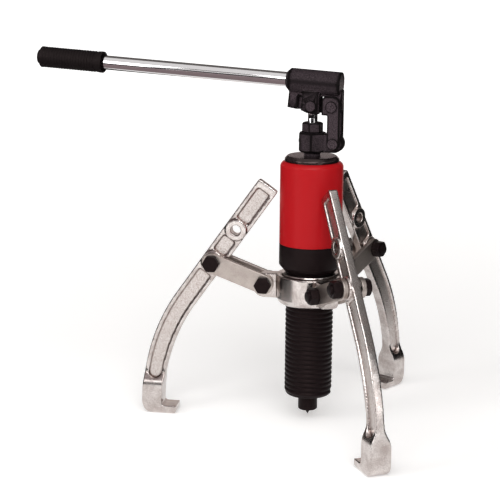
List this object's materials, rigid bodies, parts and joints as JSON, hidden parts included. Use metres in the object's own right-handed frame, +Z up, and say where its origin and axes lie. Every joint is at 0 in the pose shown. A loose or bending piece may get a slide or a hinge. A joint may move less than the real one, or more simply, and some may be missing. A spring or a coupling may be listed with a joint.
{
  "type": "hydraulic three-jaw gear puller",
  "caption": "Self-contained hydraulic gear puller: hand pump with a long lever, oil reservoir, threaded barrel and a yoke with pairs of links carrying forged hooked jaws.",
  "frame": {"origin": "centre of the ram nose's flat end face, on the ram axis", "axes": "+Z up along the ram axis towards the pump, the lever points towards -X, and +Y is the side away from the camera"},
  "size_m": [0.5076, 0.3723, 0.4641],
  "materials": {
    "black_steel": "black oxide, semi-gloss",
    "red_paint": "gloss",
    "chrome_plate": "polished",
    "bright_forging": "bright plated forging",
    "satin_links": "satin cast",
    "plain_steel": "machined",
    "bronze": "machined",
    "rubber": "moulded, matt"
  },
  "bodies": {
    "cylinder": {"barrel": "black_steel", "rod_guide": "bronze", "rod_wiper": "rubber", "lower_band": "black_steel", "band_seals": "rubber", "reservoir_sleeve": "red_paint", "top_cap": "black_steel", "valve_block": "plain_steel", "check_balls": "chrome_plate", "head_seal": "rubber", "filler_plug": "plain_steel", "swivel_seal": "rubber", "return_spring": "plain_steel"},
    "ram": {"ram_rod": "chrome_plate", "piston": "plain_steel", "piston_seal": "rubber", "ram_nose": "black_steel", "centre_point": "black_steel"},
    "pump_head": {"pump_body": "black_steel", "gland_nut": "black_steel", "plunger_seal": "rubber", "base_pin": "black_steel", "base_pin_clip": "plain_steel"},
    "release_valve": {"release_screw": "plain_steel"},
    "pump_links": {"fulcrum_link_front": "black_steel", "fulcrum_link_rear": "black_steel"},
    "plunger": {"plunger": "chrome_plate", "plunger_pin": "black_steel", "plunger_pin_clip": "plain_steel"},
    "lever": {"handle_socket": "black_steel", "handle_tube": "chrome_plate", "handle_grip": "rubber", "link_pin": "black_steel", "link_pin_clip": "plain_steel"},
    "yoke": {"yoke": "bright_forging", "lug_bolts": "black_steel", "lug_nuts": "black_steel"},
    "links_1": {"jaw_link_1_head_side": "satin_links", "jaw_link_1_nut_side": "satin_links", "jaw_bolt_1": "black_steel", "jaw_nut_1": "black_steel"},
    "jaw_1": {"jaw_1": "bright_forging"},
    "links_2": {"jaw_link_2_head_side": "satin_links", "jaw_link_2_nut_side": "satin_links", "jaw_bolt_2": "black_steel", "jaw_nut_2": "black_steel"},
    "jaw_2": {"jaw_2": "bright_forging"},
    "links_3": {"jaw_link_3_head_side": "satin_links", "jaw_link_3_nut_side": "satin_links", "jaw_bolt_3": "black_steel", "jaw_nut_3": "black_steel"},
    "jaw_3": {"jaw_3": "bright_forging"}
  },
  "joints": [
    {"name": "ram_slide", "type": "slide", "parent": "cylinder", "child": "ram", "axis": [0, 0, -1], "range_m": [0, 0.06], "stiffness_N_per_m": 5000, "springref_m": -0.02, "deforming": ["return_spring"]},
    {"name": "pump_swivel", "type": "hinge", "parent": "cylinder", "child": "pump_head", "pos_m": [0, 0, 0.3265], "axis": [0, 0, 1], "continuous": true},
    {"name": "release_turn", "type": "hinge", "parent": "pump_head", "child": "release_valve", "pos_m": [-0.01007, 0.01243, 0.3417], "axis": [-0.6293, 0.7771, 0], "range_deg": [0, 270]},
    {"name": "fulcrum_hinge", "type": "hinge", "parent": "pump_head", "child": "pump_links", "pos_m": [0.0285, 0, 0.343], "axis": [0, 1, 0], "range_deg": [-6.7, 0.3]},
    {"name": "lever_hinge", "type": "hinge", "parent": "pump_links", "child": "lever", "pos_m": [0.026, 0, 0.388], "axis": [0, 1, 0], "range_deg": [0, 46.47]},
    {"name": "plunger_slide", "type": "slide", "parent": "pump_head", "child": "plunger", "axis": [0, 0, 1], "range_m": [-0.0003, 0.0168]},
    {"name": "yoke_travel", "type": "slide", "parent": "cylinder", "child": "yoke", "axis": [0, 0, 1], "range_m": [-0.1, 0]},
    {"name": "link_hinge_1", "type": "hinge", "parent": "yoke", "child": "links_1", "pos_m": [-0.05669, -0.00797, 0.163], "axis": [-0.1392, 0.9903, 0], "range_deg": [-20.4, 0]},
    {"name": "jaw_hinge_1", "type": "hinge", "parent": "links_1", "child": "jaw_1", "pos_m": [-0.12192, -0.01714, 0.18756], "axis": [-0.1392, 0.9903, 0], "range_deg": [-25, 0]},
    {"name": "link_hinge_2", "type": "hinge", "parent": "yoke", "child": "links_2", "pos_m": [0.03525, -0.04511, 0.163], "axis": [-0.788, -0.6157, 0], "range_deg": [-20.4, 0]},
    {"name": "jaw_hinge_2", "type": "hinge", "parent": "links_2", "child": "jaw_2", "pos_m": [0.0758, -0.09702, 0.18756], "axis": [-0.788, -0.6157, 0], "range_deg": [-25, 0]},
    {"name": "link_hinge_3", "type": "hinge", "parent": "yoke", "child": "links_3", "pos_m": [0.02145, 0.05308, 0.163], "axis": [0.9272, -0.3746, 0], "range_deg": [-20.4, 0]},
    {"name": "jaw_hinge_3", "type": "hinge", "parent": "links_3", "child": "jaw_3", "pos_m": [0.04565, 0.11299, 0.1907], "axis": [0.9272, -0.3746, 0], "range_deg": [-22, 0]}
  ],
  "couplings": [
    {"joint": "fulcrum_hinge", "follows": "lever_hinge", "ratio": -0.1393},
    {"joint": "plunger_slide", "follows": "lever_hinge", "m_per_rad": 0.020384}
  ]
}
